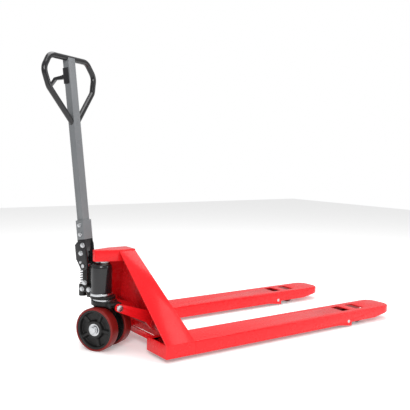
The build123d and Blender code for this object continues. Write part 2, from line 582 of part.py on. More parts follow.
def roller_yoke():
    """Left yoke: two arms and a web, with slotted crank lugs above its pivot."""
    pivot = (YOKE_PIVOT_X, YOKE_PIVOT_Z)
    axle = (ROLLER_X, ROLLER_Z)
    arm = link_outline(pivot, YOKE_BOSS_DIAMETER / 2, axle, YOKE_EYE_DIAMETER / 2)
    lug_inner = ROD_EYE_WIDTH / 2 + SIDE_GAP
    lug_outer = lug_inner + YOKE_LUG_WIDTH
    web_x = YOKE_PIVOT_X + YOKE_WEB_OFFSET
    web_half = YOKE_BOSS_DIAMETER / 3
    yoke = box_between((web_x, web_x + YOKE_WEB_THICKNESS),
                       (FORK_Y - YOKE_HALF_WIDTH, FORK_Y + YOKE_HALF_WIDTH),
                       (YOKE_PIVOT_Z - web_half, YOKE_PIVOT_Z + web_half))
    slot_radius = ROD_PIN_DIAMETER / 2 + ROD_SLOT_GAP
    lug = link_outline(pivot, YOKE_BOSS_DIAMETER / 2, (ROD_PIN_X, ROD_PIN_Z), slot_radius + YOKE_SLOT_RIM)
    for side in (-1, 1):
        outer = sorted((FORK_Y + side * (YOKE_HALF_WIDTH - YOKE_ARM_THICKNESS),
                        FORK_Y + side * YOKE_HALF_WIDTH))
        inner = sorted((FORK_Y + side * lug_inner, FORK_Y + side * lug_outer))
        boss = sorted((FORK_Y + side * lug_inner, FORK_Y + side * YOKE_HALF_WIDTH))
        yoke += side_profile(arm, *outer)
        yoke += side_profile(lug, *inner)
        yoke += crosswise(YOKE_BOSS_DIAMETER / 2, *pivot, *boss)
    slot_half = lug_outer + SIDE_GAP
    yoke -= side_profile(rod_slot(slot_radius), FORK_Y - slot_half, FORK_Y + slot_half)
    yoke -= crosswise(YOKE_PIN_DIAMETER / 2 + RUNNING_FIT, *pivot, FORK_INNER_Y, FORK_OUTER_Y)
    yoke -= crosswise(ROLLER_AXLE_DIAMETER / 2, *axle, FORK_INNER_Y, FORK_OUTER_Y)
    return yoke


def rod_slot(radius):
    """A short slot along the crank, which takes up the arc of the closed linkage."""
    angle = radians(YOKE_CRANK_START)
    inner = YOKE_CRANK - ROD_SLOT_TRAVEL
    inner_end = (YOKE_PIVOT_X + inner * sin(angle), YOKE_PIVOT_Z + inner * cos(angle))
    return link_outline(inner_end, radius, (ROD_PIN_X, ROD_PIN_Z), radius)


def roller_axle():
    y_range = (FORK_Y - YOKE_HALF_WIDTH, FORK_Y + YOKE_HALF_WIDTH)
    return crosswise(ROLLER_AXLE_DIAMETER / 2, ROLLER_X, ROLLER_Z, *y_range)


def tube_crosswise(outer, inner, x, z, y_low, y_high):
    ring = Circle(outer / 2) - Circle(inner / 2)
    return side_profile(Pos(x, z) * ring, y_low, y_high)


def roller_tyre():
    half = ROLLER_WIDTH / 2
    y_range = (FORK_Y - half, FORK_Y + half)
    tyre = tube_crosswise(ROLLER_DIAMETER, ROLLER_CORE_DIAMETER, ROLLER_X, ROLLER_Z, *y_range)
    rims = [edge for edge in tyre.edges().filter_by(GeomType.CIRCLE) if edge.radius > ROLLER_DIAMETER / 2 - 1]
    return fillet(rims, TYRE_EDGE)


def roller_core():
    half = ROLLER_WIDTH / 2
    y_range = (FORK_Y - half, FORK_Y + half)
    return tube_crosswise(ROLLER_CORE_DIAMETER, ROLLER_BEARING_DIAMETER, ROLLER_X, ROLLER_Z, *y_range)


def bearing(outer, bore, x, z, y_low, y_high):
    """A ball bearing as one ring, with the face recessed between its races."""
    ring = tube_crosswise(outer, bore + 2 * RUNNING_FIT, x, z, y_low, y_high)
    groove_outer = outer - 2 * BEARING_LAND
    groove_inner = bore + 2 * RUNNING_FIT + 2 * BEARING_LAND
    ring -= tube_crosswise(groove_outer, groove_inner, x, z, y_low, y_low + BEARING_FACE_RECESS)
    ring -= tube_crosswise(groove_outer, groove_inner, x, z, y_high - BEARING_FACE_RECESS, y_high)
    return ring


def roller_bearings():
    half = ROLLER_WIDTH / 2
    bearings = []
    for y in (FORK_Y - half, FORK_Y + half - ROLLER_BEARING_WIDTH):
        bearings.append(bearing(ROLLER_BEARING_DIAMETER, ROLLER_AXLE_DIAMETER, ROLLER_X, ROLLER_Z,
                                y, y + ROLLER_BEARING_WIDTH))
    return group(*bearings)


# ---- carrier: the plate that the rocker lifts on and the pump turns in ----
def carrier():
    """A collar round the pump's neck, with a wing over each link pin."""
    pin_radius = LINK_PIN_DIAMETER / 2
    arm_reach = ROCKER_ARM - (SHAFT_X - LINK_PIN_X)
    slot_rear_x = LINK_PIN_X - arm_reach - pin_radius - OPEN_PIVOT_GAP
    slot_front_x = LINK_PIN_X + pin_radius + OPEN_PIVOT_GAP
    slot_top_z = LINK_PIN_Z + pin_radius + OPEN_PIVOT_GAP
    wing_x = (slot_rear_x - CARRIER_LIP, slot_front_x + CARRIER_LIP)
    plate = upright(CARRIER_DIAMETER / 2, CARRIER_BOTTOM_Z, CARRIER_TOP_Z)
    plate += box_between(wing_x, (-CARRIER_WING_END_Y, CARRIER_WING_END_Y), (CARRIER_BOTTOM_Z, CARRIER_TOP_Z))
    for side in (-1, 1):
        y_range = sorted((side * CARRIER_WING_Y, side * CARRIER_WING_END_Y))
        plate -= box_between((slot_rear_x, slot_front_x), y_range, (CARRIER_BOTTOM_Z, slot_top_z))
    return plate - upright(NECK_DIAMETER / 2 + RUNNING_FIT, CARRIER_BOTTOM_Z, CARRIER_TOP_Z)


def thrust_bearing():
    ring = Circle(THRUST_BEARING_DIAMETER / 2) - Circle(THRUST_BEARING_BORE / 2)
    return plan_profile(ring, CARRIER_TOP_Z + RUNNING_FIT, FLANGE_BOTTOM_Z)


# ---- pump, drawn as if it were steered straight ahead ----
def pump_base():
    """The casting: axle block, neck, flange, rear lug, plunger housing and handle ears."""
    casting = box_between((-BASE_HALF_LENGTH, BASE_HALF_LENGTH), (-BASE_HALF_WIDTH, BASE_HALF_WIDTH),
                          (WHEEL_Z, BASE_TOP_Z))
    casting += crosswise(BASE_BOTTOM_RADIUS, 0.0, WHEEL_Z, -BASE_HALF_WIDTH, BASE_HALF_WIDTH)
    casting += upright(NECK_DIAMETER / 2, BASE_TOP_Z, FLANGE_BOTTOM_Z)
    casting += upright(THRUST_BEARING_DIAMETER / 2, FLANGE_BOTTOM_Z, FLANGE_TOP_Z)
    casting += upright(RESERVOIR_RING_DIAMETER / 2, FLANGE_BOTTOM_Z, FLANGE_TOP_Z, x=-RESERVOIR_BACK)
    lug_y = (-LUG_HALF_WIDTH, LUG_HALF_WIDTH)
    casting += box_between((-WEB_REAR, -RESERVOIR_BACK), lug_y, (FLANGE_BOTTOM_Z, PUMP_LUG_TOP_Z))
    casting += box_between((-PLUNGER_BACK, -RESERVOIR_BACK), lug_y, (PUMP_LUG_BOTTOM_Z, PUMP_LUG_TOP_Z))
    casting += upright(PLUNGER_HOUSING_DIAMETER / 2, FLANGE_BOTTOM_Z, PLUNGER_HOUSING_TOP_Z,
                       x=-PLUNGER_BACK)
    casting -= upright(RESERVOIR_RING_DIAMETER / 2, FLANGE_TOP_Z, RESERVOIR_TOP_Z, x=-RESERVOIR_BACK)
    casting -= box_between((-PIVOT_BACK, VALVE_NOTCH_FRONT_X),
                           (-VALVE_NOTCH_HALF_WIDTH, VALVE_NOTCH_HALF_WIDTH),
                           (FLANGE_BOTTOM_Z, PUMP_LUG_BOTTOM_Z))
    ear_rear_x = -PIVOT_BACK - CAM_PIN_REACH + CAM_PIN_DIAMETER / 2 + SIDE_GAP
    ear_front_x = -PIVOT_BACK + EAR_DIAMETER / 2
    ear = Pos(-PIVOT_BACK, PIVOT_Z) * Circle(EAR_DIAMETER / 2)
    ear += polygon((ear_rear_x, PUMP_LUG_TOP_Z), (ear_front_x, PUMP_LUG_TOP_Z),
                   (ear_front_x, PIVOT_Z), (ear_rear_x, PIVOT_Z))
    ear_plate = side_profile(ear, EAR_INNER_Y, EAR_INNER_Y + EAR_THICKNESS)
    casting += ear_plate + mirrored(ear_plate)
    casting -= crosswise(VALVE_PIN_DIAMETER / 2 + RUNNING_FIT, -VALVE_PIVOT_BACK, VALVE_PIVOT_Z, *lug_y)
    casting -= upright(RELEASE_LINK_DIAMETER / 2 + SLIDE_GAP, FLANGE_BOTTOM_Z, PUMP_LUG_TOP_Z, x=-PIVOT_BACK)
    casting -= upright(RAM_DIAMETER / 2 + RUNNING_FIT, CYLINDER_BOTTOM_Z, FLANGE_TOP_Z)
    casting -= upright(PLUNGER_DIAMETER / 2 + RUNNING_FIT, FLANGE_BOTTOM_Z + PLATE,
                       PLUNGER_HOUSING_TOP_Z, x=-PLUNGER_BACK)
    casting -= crosswise(PIVOT_PIN_DIAMETER / 2, -PIVOT_BACK, PIVOT_Z, -TRUCK_WIDTH, TRUCK_WIDTH)
    casting -= crosswise(WHEEL_AXLE_DIAMETER / 2, 0.0, WHEEL_Z, -TRUCK_WIDTH, TRUCK_WIDTH)
    return casting


def lift_cylinder():
    ring = Circle(CYLINDER_DIAMETER / 2) - Circle(RAM_DIAMETER / 2 + RUNNING_FIT)
    return plan_profile(ring, FLANGE_TOP_Z, RESERVOIR_TOP_Z)


def oil_reservoir():
    """A domed tank round the lift cylinder, set back from it towards the handle."""
    shell = domed_cylinder(RESERVOIR_DIAMETER / 2, RESERVOIR_TOP_Z, RESERVOIR_DOME)
    hollow = domed_cylinder(RESERVOIR_DIAMETER / 2 - RESERVOIR_WALL, RESERVOIR_TOP_Z - RESERVOIR_WALL,
                            RESERVOIR_DOME - RESERVOIR_WALL)
    return shell - hollow - upright(CYLINDER_DIAMETER / 2, RESERVOIR_RING_TOP_Z, RESERVOIR_TOP_Z)


def domed_cylinder(radius, top_z, dome):
    body = upright(radius, RESERVOIR_RING_TOP_Z, top_z, x=-RESERVOIR_BACK)
    return fillet(body.edges().group_by(Axis.Z)[-1], dome)


def reservoir_ring():
    ring = Circle(RESERVOIR_RING_DIAMETER / 2) - Circle(RESERVOIR_DIAMETER / 2 - RESERVOIR_WALL)
    return plan_profile(Pos(-RESERVOIR_BACK, 0) * ring, FLANGE_TOP_Z, RESERVOIR_RING_TOP_Z)


def gland_nut():
    outline = RegularPolygon(GLAND_DIAMETER / 2, 8) - Circle(RAM_DIAMETER / 2 + RUNNING_FIT)
    return plan_profile(outline, RESERVOIR_TOP_Z, RESERVOIR_TOP_Z + GLAND_HEIGHT)


def pump_fasteners():
    """The bolt heads along both sides of the rear lug and on the handle ears."""
    z = (PUMP_LUG_BOTTOM_Z + PUMP_LUG_TOP_Z) / 2
    heads = []
    for side in (-1, 1):
        for x in LUG_BOLT_X:
            heads.append(hex_head(x, z, LUG_HALF_WIDTH, side))
        heads.append(hex_head(-PIVOT_BACK, EAR_BOLT_Z, EAR_INNER_Y + EAR_THICKNESS, side))
    return group(*heads)


def handle_pivot_pin():
    """The tilt pin, cross-drilled for the release link."""
    half = CHEEK_INNER_Y + CHEEK_THICKNESS + BOLT_HEAD
    pin = crosswise(PIVOT_PIN_DIAMETER / 2, -PIVOT_BACK, PIVOT_Z, -half, half)
    return pin - upright(RELEASE_LINK_DIAMETER / 2 + SLIDE_GAP, 0.0, 2 * PIVOT_Z, x=-PIVOT_BACK)


def steer_axle():
    half = WHEEL_Y + WHEEL_WIDTH / 2 + AXLE_RING_THICKNESS + AXLE_STUB
    ring_y = WHEEL_Y + WHEEL_WIDTH / 2 + SLIDE_GAP
    ring = tube_crosswise(AXLE_RING_DIAMETER, WHEEL_AXLE_DIAMETER, 0.0, WHEEL_Z,
                          ring_y, ring_y + AXLE_RING_THICKNESS)
    return group(crosswise(WHEEL_AXLE_DIAMETER / 2, 0.0, WHEEL_Z, -half, half), ring, mirrored(ring))


def pump_plunger():
    """The pump's piston rod with the cap that the cam roller pushes down."""
    rod_bottom = FLANGE_BOTTOM_Z + PLATE + PLUNGER_STROKE + SLIDE_GAP
    rod = upright(PLUNGER_DIAMETER / 2, rod_bottom, PLUNGER_TOP_Z, x=-PLUNGER_BACK)
    cap_bottom_z = PLUNGER_TOP_Z - PLUNGER_CAP_HEIGHT
    cap = upright(PLUNGER_CAP_DIAMETER / 2, cap_bottom_z, PLUNGER_TOP_Z, x=-PLUNGER_BACK)
    return rod + cap


def plunger_spring():
    """The return spring's turns, drawn as even rings between the housing and the cap."""
    low = PLUNGER_HOUSING_TOP_Z + SPRING_WIRE / 2
    high = PLUNGER_TOP_Z - PLUNGER_CAP_HEIGHT - SPRING_WIRE / 2
    step = (high - low) / SPRING_TURNS
    ring = Torus((SPRING_DIAMETER - SPRING_WIRE) / 2, SPRING_WIRE / 2)
    return group(*[Pos(-PLUNGER_BACK, 0, low + step * turn) * ring for turn in range(SPRING_TURNS + 1)])


def valve_lever():
    """The release valve's rocking arm and its spindle, reaching back to the release link."""
    spindle = (-VALVE_PIVOT_BACK, VALVE_PIVOT_Z)
    outline = link_outline(spindle, VALVE_BOSS_DIAMETER / 2, (-PIVOT_BACK, VALVE_PIVOT_Z),
                           VALVE_LEVER_END_DIAMETER / 2)
    arm = side_profile(outline, -VALVE_LEVER_WIDTH / 2, VALVE_LEVER_WIDTH / 2)
    return arm + crosswise(VALVE_PIN_DIAMETER / 2, *spindle, -LUG_HALF_WIDTH, LUG_HALF_WIDTH)


def release_link():
    """The short link through the tilt pin, between the handle's rod and the valve lever."""
    top_z = PIVOT_Z + RELEASE_LINK_TOP
    return upright(RELEASE_LINK_DIAMETER / 2, RELEASE_LINK_BOTTOM_Z, top_z, x=-PIVOT_BACK)


# ---- steered wheels, drawn as if they were steered straight ahead ----
def wheel_tyre():
    half = WHEEL_WIDTH / 2
    tyre = tube_crosswise(WHEEL_DIAMETER, WHEEL_HUB_DIAMETER, 0.0, WHEEL_Z, WHEEL_Y - half, WHEEL_Y + half)
    rims = [edge for edge in tyre.edges().filter_by(GeomType.CIRCLE) if edge.radius > WHEEL_DIAMETER / 2 - 1]
    return fillet(rims, TYRE_EDGE)


def wheel_hub():
    """A cast hub: rim, boss and web, with spokes that stiffen both sides."""
    half = WHEEL_HUB_WIDTH / 2
    rim_inner = WHEEL_HUB_DIAMETER - 2 * HUB_RIM
    hub = tube_crosswise(WHEEL_HUB_DIAMETER, rim_inner, 0.0, WHEEL_Z, WHEEL_Y - half, WHEEL_Y + half)
    hub += tube_crosswise(HUB_BOSS_DIAMETER, WHEEL_BEARING_DIAMETER, 0.0, WHEEL_Z,
                          WHEEL_Y - half, WHEEL_Y + half)
    hub += tube_crosswise(rim_inner, HUB_BOSS_DIAMETER, 0.0, WHEEL_Z,
                          WHEEL_Y - HUB_WEB / 2, WHEEL_Y + HUB_WEB / 2)
    reach = (rim_inner + HUB_BOSS_DIAMETER) / 4
    length = (rim_inner - HUB_BOSS_DIAMETER) / 2 + HUB_RIM / 2
    for index in range(HUB_SPOKES):
        spoke = Box(HUB_SPOKE_WIDTH, WHEEL_HUB_WIDTH - 2 * HUB_RIM, length)
        hub += Pos(0, WHEEL_Y, WHEEL_Z) * Rot(0, 360 * index / HUB_SPOKES, 0) * Pos(0, 0, reach) * spoke
    return hub


def wheel_bearings():
    half = WHEEL_HUB_WIDTH / 2
    bearings = []
    for y in (WHEEL_Y - half, WHEEL_Y + half - WHEEL_BEARING_WIDTH):
        bearings.append(bearing(WHEEL_BEARING_DIAMETER, WHEEL_AXLE_DIAMETER, 0.0, WHEEL_Z,
                                y, y + WHEEL_BEARING_WIDTH))
    return group(*bearings)


# ---- handle, drawn from its tilt pin with the stem straight up ----
def cam_centre():
    angle = radians(HANDLE_TILT / 2 + HANDLE_LEAN)
    return (-CAM_ARM * cos(angle), CAM_ARM * sin(angle))


def handle_base():
    """A forked casting: two deep cheeks on the tilt pin, a block above and the cam roller's seat."""
    radius = CHEEK_DIAMETER / 2
    top_half = STEM_SLEEVE_DEPTH / 2
    cheek = Circle(radius) + polygon((-radius, 0), (radius, 0), (top_half, HANDLE_BASE_HEIGHT),
                                     (-top_half, HANDLE_BASE_HEIGHT))
    cheek += polygon((-radius, 0), (radius, 0), (SHOULDER_FRONT, SHOULDER_BOTTOM),
                     (SHOULDER_FRONT, SHOULDER_TOP - SHOULDER_BEVEL), (top_half, SHOULDER_TOP),
                     (SHOULDER_BEVEL - SHOULDER_BACK, SHOULDER_TOP),
                     (-SHOULDER_BACK, SHOULDER_TOP - SHOULDER_BEVEL), (-SHOULDER_BACK, SHOULDER_BOTTOM))
    cheek += link_outline((0, 0), radius, cam_centre(), CAM_PIN_DIAMETER)
    cheek -= Circle(PIVOT_PIN_DIAMETER / 2 + RUNNING_FIT)
    cheek -= Pos(*cam_centre()) * Circle(CAM_PIN_DIAMETER / 2)
    left = side_profile(cheek, CHEEK_INNER_Y, CHEEK_INNER_Y + CHEEK_THICKNESS)
    block = box_between((-STEM_DEPTH / 2, STEM_DEPTH / 2), (-CHEEK_INNER_Y, CHEEK_INNER_Y),
                        (HANDLE_BLOCK_BOTTOM, HANDLE_BASE_HEIGHT))
    rod_bore = upright(RELEASE_ROD_DIAMETER / 2 + SIDE_GAP, 0.0, HANDLE_BASE_HEIGHT)
    return left + mirrored(left) + block - rod_bore


def handle_stem():
    outer = Rectangle(STEM_DEPTH, STEM_WIDTH)
    bore = Rectangle(STEM_DEPTH - 2 * STEM_WALL, STEM_WIDTH - 2 * STEM_WALL)
    stem = plan_profile(outer - bore, HANDLE_BASE_HEIGHT, LOOP_TOP)
    stem -= crosswise(LOOP_TUBE / 2, 0.0, LOOP_TOP, -STEM_WIDTH, STEM_WIDTH)
    window = RELEASE_COLLAR_DIAMETER / 2
    stem -= box_between((-STEM_DEPTH, 0), (-window, window),
                        (LEVER_HEIGHT - 2 * window, LEVER_HEIGHT + 2 * window))
    for height in SLEEVE_BOLT_HEIGHTS:
        stem -= crosswise(BOLT_DIAMETER / 2, 0.0, height, -STEM_WIDTH, STEM_WIDTH)
    return stem


def stem_sleeve():
    """The welded sleeve that bolts the stem to its base."""
    ring = Rectangle(STEM_SLEEVE_DEPTH, STEM_SLEEVE_WIDTH) - Rectangle(STEM_DEPTH, STEM_WIDTH)
    sleeve = plan_profile(ring, HANDLE_BASE_HEIGHT, STEM_SLEEVE_TOP)
    for height in SLEEVE_BOLT_HEIGHTS:
        sleeve -= crosswise(BOLT_DIAMETER / 2, 0.0, height, -STEM_SLEEVE_WIDTH, STEM_SLEEVE_WIDTH)
    return sleeve


def handle_bolts():
    """Sleeve and cheek bolts from both sides, and the cam roller's pin."""
    pieces = []
    inner_y = STEM_WIDTH / 2 - STEM_WALL
    outer_y = STEM_SLEEVE_WIDTH / 2
    cheek_y = CHEEK_INNER_Y + CHEEK_THICKNESS
    for height in SLEEVE_BOLT_HEIGHTS:
        bolt = crosswise(BOLT_DIAMETER / 2, 0.0, height, inner_y, outer_y) + hex_head(0.0, height, outer_y, 1)
        pieces += [bolt, mirrored(bolt)]
    for x, height in CHEEK_BOLTS:
        head = hex_head(x, height, cheek_y, 1)
        pieces += [head, mirrored(head)]
    pieces.append(crosswise(CAM_PIN_DIAMETER / 2, *cam_centre(), -cheek_y, cheek_y))
    return group(*pieces)


def cam_roller():
    half = CAM_ROLLER_WIDTH / 2
    return tube_crosswise(CAM_ROLLER_DIAMETER, CAM_PIN_DIAMETER + 2 * RUNNING_FIT, *cam_centre(), -half, half)


def handle_loop():
    """The grip loop: straight runs and tangent bends, from one side of the stem to the other."""
    half = [LOOP_FOOT, LOOP_ELBOW, LOOP_SIDE, (LOOP_SHOULDER_Y, LOOP_TOP)]
    corners = [(0, y, z) for y, z in half] + [(0, -y, z) for y, z in reversed(half)]
    route = FilletPolyline(*corners, radius=LOOP_BEND)
    start = Plane(origin=route @ 0, z_dir=route % 0)
    loop = sweep(start * (Circle(LOOP_TUBE / 2) - Circle(LOOP_TUBE / 2 - LOOP_WALL)), path=route)
    stem_y = (-STEM_WIDTH / 2, STEM_WIDTH / 2)
    return loop - box_between((-STEM_DEPTH, STEM_DEPTH), stem_y, (0.0, LEVER_HEIGHT))


def lever_bracket():
    """A saddle on the rear of the stem with two ears and the control lever's pin."""
    plate_x = (-STEM_DEPTH / 2 - LEVER_PLATE, -STEM_DEPTH / 2)
    plate_z = (LEVER_HEIGHT - LEVER_PLATE_HALF_HEIGHT, LEVER_HEIGHT + LEVER_PLATE_HALF_HEIGHT)
    window = RELEASE_COLLAR_DIAMETER / 2
    plate = box_between(plate_x, (-STEM_WIDTH / 2, STEM_WIDTH / 2), plate_z)
    plate -= box_between(plate_x, (-window, window), (LEVER_HEIGHT - 2 * window, LEVER_HEIGHT + 2 * window))
    pivot = (-LEVER_PIVOT_BACK, LEVER_HEIGHT)
    ear_radius = LEVER_ROOT_DIAMETER / 2
    low_z = LEVER_HEIGHT - ear_radius
    high_z = LEVER_HEIGHT + ear_radius
    ear = Pos(*pivot) * Circle(ear_radius)
    ear += polygon((pivot[0], low_z), (plate_x[0], low_z), (plate_x[0], high_z), (pivot[0], high_z))
    inner_y = LEVER_WIDTH / 2 + SIDE_GAP
    side = side_profile(ear, inner_y, inner_y + LEVER_EAR)
    side -= crosswise(LEVER_PIN_DIAMETER / 2, *pivot, -STEM_WIDTH, STEM_WIDTH)
    flange_y = (STEM_WIDTH / 2, STEM_WIDTH / 2 + LEVER_PLATE)
    side += box_between((plate_x[0], LEVER_FLANGE_FRONT_X), flange_y, plate_z)
    pin = crosswise(LEVER_PIN_DIAMETER / 2, *pivot, -inner_y - LEVER_EAR, inner_y + LEVER_EAR)
    return group(plate + side + mirrored(side), pin)


def control_lever():
    """The finger lever: a nose that works the release rod, an arm and a hooked end."""
    pivot = (-LEVER_PIVOT_BACK, LEVER_HEIGHT)
    root = LEVER_ROOT_DIAMETER / 2
    bend = (pivot[0] - LEVER_BEND, LEVER_HEIGHT)
    tip = (pivot[0] - LEVER_REACH, LEVER_HEIGHT - LEVER_HOOK)
    low_z = LEVER_HEIGHT - LEVER_NOSE_HEIGHT / 2
    high_z = LEVER_HEIGHT + LEVER_NOSE_HEIGHT / 2
    outline = link_outline(pivot, root, bend, root - LEVER_TAPER)
    outline += link_outline(bend, root - LEVER_TAPER, tip, root - LEVER_TAPER - SIDE_GAP)
    outline += polygon((pivot[0], low_z), (-LEVER_NOSE_END, low_z),
                       (-LEVER_NOSE_END, high_z), (pivot[0], high_z))
    outline -= Pos(*pivot) * Circle(LEVER_PIN_DIAMETER / 2 + RUNNING_FIT)
    return side_profile(outline, -LEVER_WIDTH / 2, LEVER_WIDTH / 2)


def release_rod():
    """The rod down the stem, with a collar above and below the lever's nose."""
    top = LEVER_HEIGHT + RELEASE_COLLAR_OFFSET + RELEASE_COLLAR
    rod = upright(RELEASE_ROD_DIAMETER / 2, RELEASE_ROD_BOTTOM, top)
    for low in (LEVER_HEIGHT - RELEASE_COLLAR_OFFSET - RELEASE_COLLAR, LEVER_HEIGHT + RELEASE_COLLAR_OFFSET):
        rod += upright(RELEASE_COLLAR_DIAMETER / 2, low, low + RELEASE_COLLAR)
    return rod


# ---- the whole truck ----
def on_both_sides(pieces):
    return {f"{side}_{name}": shape if side == "left" else mirrored(shape)
            for name, shape in pieces.items() for side in ("left", "right")}


def truck():
    """Every sub-part by name, in its place on the parked truck."""
    steer = Rot(0, 0, STEER_ANGLE)
    handle = steer * Pos(-PIVOT_BACK, 0, PIVOT_Z) * Rot(0, -HANDLE_LEAN, 0)
    nodes = on_both_sides({
        "fork_blade": fork_blade(), "heel": heel(), "side_plate": side_plate(), "push_rod": push_rod(),
        "roller_yoke": roller_yoke(), "roller_axle": roller_axle(), "roller_tyre": roller_tyre(),
        "roller_core": roller_core(), "roller_bearings": roller_bearings()})
    nodes.update({
        "front_panel": front_panel(), "head": head(), "ram_socket": ram_socket(), "lift_ram": lift_ram(),
        "lower_cross_member": lower_cross_member(), "rocker_brackets": rocker_brackets(),
        "rocker_bushes": rocker_bushes(), "yoke_pins": yoke_pins(), "rocker_shaft": rocker_shaft(),
        "rocker_arms": rocker_arms(), "link_pins": link_pins(), "rocker_cranks": rocker_cranks(),
        "crank_pins": crank_pins(), "carrier": carrier()})
    steered = on_both_sides({
        "wheel_tyre": wheel_tyre(), "wheel_hub": wheel_hub(), "wheel_bearings": wheel_bearings()})
    steered.update({
        "thrust_bearing": thrust_bearing(), "pump_base": pump_base(), "lift_cylinder": lift_cylinder(),
        "oil_reservoir": oil_reservoir(), "reservoir_ring": reservoir_ring(), "gland_nut": gland_nut(),
        "pump_fasteners": pump_fasteners(), "handle_pivot_pin": handle_pivot_pin(),
        "steer_axle": steer_axle(),
        "pump_plunger": pump_plunger(), "plunger_spring": plunger_spring(), "valve_lever": valve_lever(),
        "release_link": release_link()})
    on_handle = {
        "handle_base": handle_base(), "handle_stem": handle_stem(), "stem_sleeve": stem_sleeve(),
        "handle_bolts": handle_bolts(), "cam_roller": cam_roller(), "handle_loop": handle_loop(),
        "lever_bracket": lever_bracket(), "control_lever": control_lever(), "release_rod": release_rod()}
    nodes.update({name: steer * shape for name, shape in steered.items()})
    nodes.update({name: handle * shape for name, shape in on_handle.items()})
    return nodes


def middle_x(nodes):
    """The middle of the whole truck's length, which becomes the origin."""
    boxes = [shape.bounding_box() for shape in nodes.values()]
    return (min(box.min.X for box in boxes) + max(box.max.X for box in boxes)) / 2


def main():
    os.makedirs("parts", exist_ok=True)
    nodes = truck()
    shift = Pos(-middle_x(nodes), 0, 0)
    for name, shape in nodes.items():
        export_step(shift * shape, f"parts/{name}.step")


if __name__ == "__main__":
    main()
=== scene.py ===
# Hand pallet truck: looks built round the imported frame. Metres, +X to the fork tips, +Z up.
import json
import math

import bmesh
import bpy
from mathutils import Matrix, Vector

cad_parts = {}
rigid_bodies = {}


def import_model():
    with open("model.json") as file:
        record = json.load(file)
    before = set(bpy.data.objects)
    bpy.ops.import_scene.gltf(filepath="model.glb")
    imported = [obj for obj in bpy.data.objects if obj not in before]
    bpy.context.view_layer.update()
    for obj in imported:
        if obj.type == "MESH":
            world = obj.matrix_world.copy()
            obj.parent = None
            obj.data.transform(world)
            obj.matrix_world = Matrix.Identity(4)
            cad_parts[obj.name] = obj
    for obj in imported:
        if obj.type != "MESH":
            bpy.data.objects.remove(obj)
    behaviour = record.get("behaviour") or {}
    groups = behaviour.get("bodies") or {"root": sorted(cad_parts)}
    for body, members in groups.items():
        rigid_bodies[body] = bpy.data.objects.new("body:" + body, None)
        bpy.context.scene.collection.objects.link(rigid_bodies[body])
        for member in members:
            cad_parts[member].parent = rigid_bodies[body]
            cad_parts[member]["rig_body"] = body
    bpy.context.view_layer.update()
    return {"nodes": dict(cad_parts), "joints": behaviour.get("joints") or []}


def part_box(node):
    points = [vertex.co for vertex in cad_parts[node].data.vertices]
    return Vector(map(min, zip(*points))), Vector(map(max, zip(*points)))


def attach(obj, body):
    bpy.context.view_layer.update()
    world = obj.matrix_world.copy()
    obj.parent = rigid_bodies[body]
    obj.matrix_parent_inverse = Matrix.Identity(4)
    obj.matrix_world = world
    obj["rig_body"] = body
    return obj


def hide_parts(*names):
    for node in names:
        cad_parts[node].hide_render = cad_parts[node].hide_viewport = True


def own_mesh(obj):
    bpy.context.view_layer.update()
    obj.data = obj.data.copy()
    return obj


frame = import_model()
mm = 0.001
print("frame loaded:", len(frame["nodes"]), "nodes")


# ---------- small helpers
def hexColour(text):
    channels = [int(text[i:i + 2], 16) / 255 for i in (1, 3, 5)]
    linear = [c / 12.92 if c <= 0.04045 else ((c + 0.055) / 1.055) ** 2.4 for c in channels]
    return (*linear, 1.0)


def addNode(tree, kind, settings=None, inputs=None):
    node = tree.nodes.new(kind)
    for name, value in (settings or {}).items():
        setattr(node, name, value)
    for name, value in (inputs or {}).items():
        if isinstance(value, bpy.types.NodeSocket):
            tree.links.new(value, node.inputs[name])
        else:
            node.inputs[name].default_value = value
    return node


def boxMiddle(nodeName):
    low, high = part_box(nodeName)
    return (low + high) / 2


# ---------- where things are, read from the frame
kingpin = boxMiddle("lift_ram")
axle = boxMiddle("steer_axle")
tiltPin = boxMiddle("handle_pivot_pin")
shaft = boxMiddle("rocker_shaft")
joints = {joint["name"]: joint for joint in frame["joints"]}
axleDirection = Vector(joints["left_wheel_spin"]["axis"]).normalized()
stemDirection = -Vector(joints["release_rod_slide"]["axis"]).normalized()


